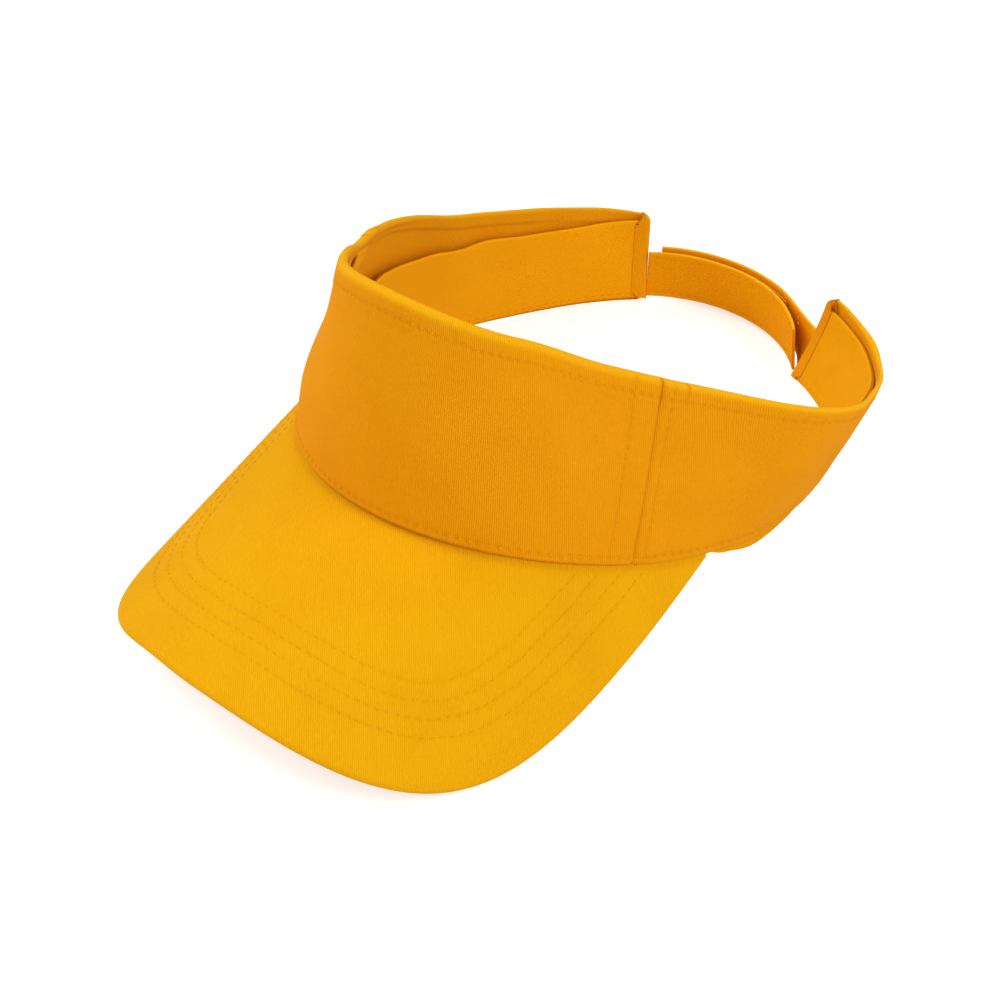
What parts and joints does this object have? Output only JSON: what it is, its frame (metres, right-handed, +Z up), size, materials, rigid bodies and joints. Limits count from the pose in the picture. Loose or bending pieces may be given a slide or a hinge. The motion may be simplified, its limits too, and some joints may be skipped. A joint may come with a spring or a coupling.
{
  "type": "sun visor",
  "caption": "Twill sun visor with a curved stitched brim, a tall front panel, a sweatband and an overlapping hook-and-loop strap behind.",
  "frame": {"origin": "centre of the bounding box's bottom face, on the table that the visor stands on", "axes": "+X towards the wearer's left, -Y towards the tip of the brim, +Z up"},
  "size_m": [0.1632, 0.2542, 0.1082],
  "materials": {
    "front_panel": "matt cotton twill",
    "side_panel_left": "matt cotton twill",
    "side_panel_right": "matt cotton twill",
    "front_stiffener": "stiff open-weave buckram, dyed to match",
    "side_seam_tape_left": "matt twill tape",
    "side_seam_tape_right": "matt twill tape",
    "brim_seam_tape": "matt twill tape",
    "sweatband_front": "soft padded twill",
    "sweatband_left": "soft padded twill",
    "sweatband_right": "soft padded twill",
    "brim_top_cover": "matt cotton twill",
    "brim_board": "smooth flexible sheet",
    "brim_under_cover": "matt cotton twill",
    "left_end_binding": "turned and stitched twill",
    "right_end_binding": "turned and stitched twill",
    "inner_strap": "doubled twill",
    "loop_tape": "soft nylon loops",
    "outer_strap": "doubled twill",
    "hook_tape": "stiff nylon hooks"
  },
  "bodies": {
    "visor": {"front_panel": "front_panel", "side_panel_left": "side_panel_left", "side_panel_right": "side_panel_right", "front_stiffener": "front_stiffener", "side_seam_tape_left": "side_seam_tape_left", "side_seam_tape_right": "side_seam_tape_right", "brim_seam_tape": "brim_seam_tape", "sweatband_front": "sweatband_front", "sweatband_left": "sweatband_left", "sweatband_right": "sweatband_right", "brim_top_cover": "brim_top_cover", "brim_board": "brim_board", "brim_under_cover": "brim_under_cover"},
    "left_wing": {"left_end_binding": "left_end_binding"},
    "right_wing": {"right_end_binding": "right_end_binding", "inner_strap": "inner_strap", "loop_tape": "loop_tape"},
    "closure": {"outer_strap": "outer_strap", "hook_tape": "hook_tape"}
  },
  "joints": [
    {"name": "left_wing_flex", "type": "hinge", "parent": "visor", "child": "left_wing", "pos_m": [0.051, 0.08263, 0], "axis": [0, 0, -1], "range_deg": [0, 12], "deforming": ["side_panel_left", "sweatband_left"]},
    {"name": "right_wing_flex", "type": "hinge", "parent": "visor", "child": "right_wing", "pos_m": [-0.069, 0.08263, 0], "axis": [0, 0, 1], "range_deg": [0, 12], "deforming": ["side_panel_right", "sweatband_right"]},
    {"name": "strap_peel", "type": "hinge", "parent": "left_wing", "child": "closure", "pos_m": [0.02427, 0.10886, 0], "axis": [0, 0, -1], "range_deg": [0, 90]}
  ],
  "couplings": [
    {"joint": "right_wing_flex", "follows": "left_wing_flex", "ratio": 1}
  ]
}
